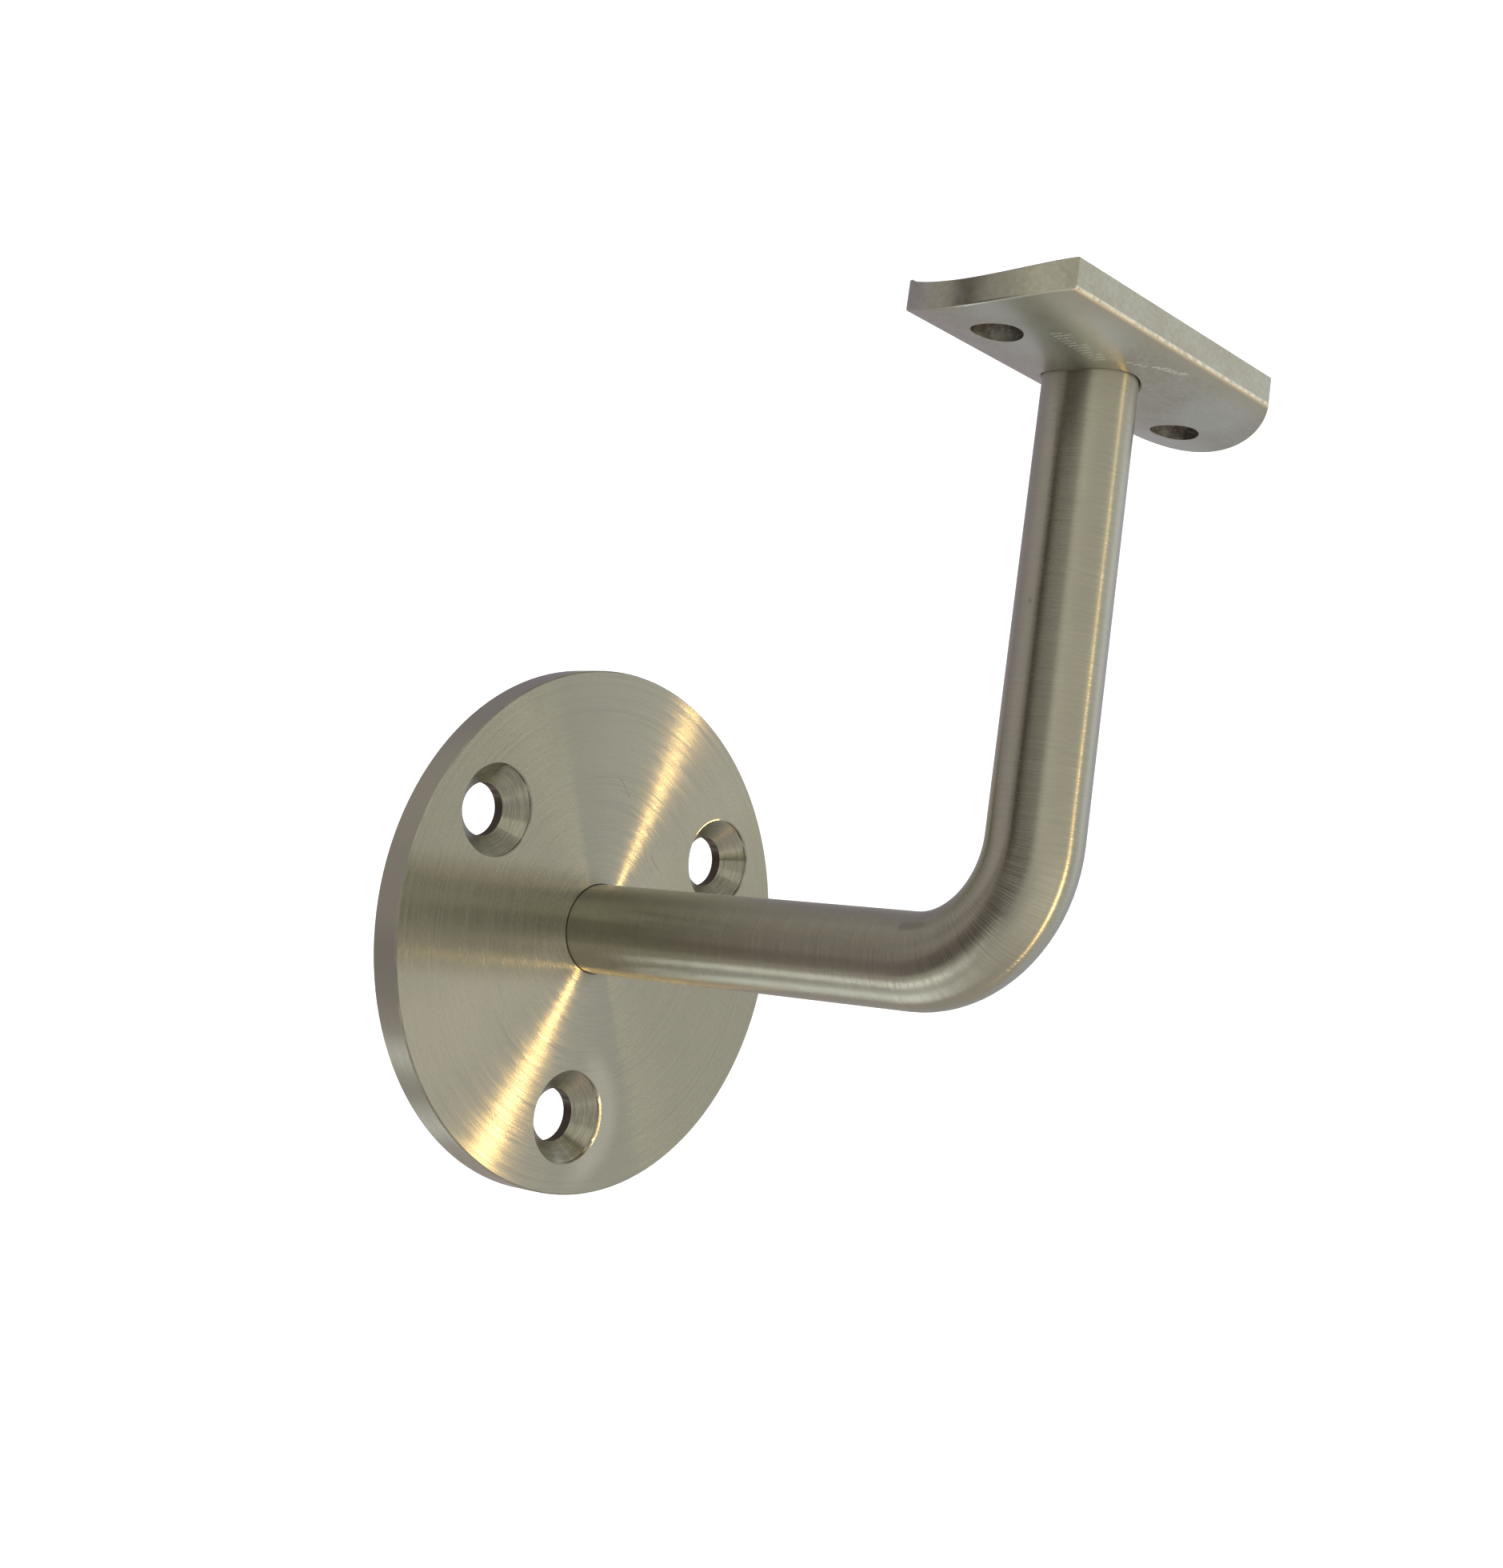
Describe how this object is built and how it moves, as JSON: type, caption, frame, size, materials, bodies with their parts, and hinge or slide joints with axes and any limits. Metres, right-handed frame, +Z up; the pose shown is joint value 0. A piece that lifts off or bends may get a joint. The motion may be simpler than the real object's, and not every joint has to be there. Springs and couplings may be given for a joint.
{
  "type": "handrail bracket",
  "caption": "Wall-mounted handrail bracket: a round screw-fixed wall plate, a round bar arm bent upwards and a curved saddle that cradles a round rail.",
  "frame": {"origin": "centre of the wall plate's flat back face, on the axis of the arm's level run", "axes": "+Y into the wall (the back face's outward normal), -Y out into the room, +Z up, +X along the handrail"},
  "size_m": [0.07, 0.0868, 0.1143],
  "materials": {
    "wall_plate": "spun satin, rings about the centre",
    "arm": "satin, fine rings round the bar",
    "rail_saddle": "fine satin",
    "plate_weld": "ground flush",
    "saddle_weld": "ground flush"
  },
  "bodies": {
    "root": {"wall_plate": "wall_plate", "arm": "arm", "rail_saddle": "rail_saddle", "plate_weld": "plate_weld", "saddle_weld": "saddle_weld"}
  },
  "joints": []
}
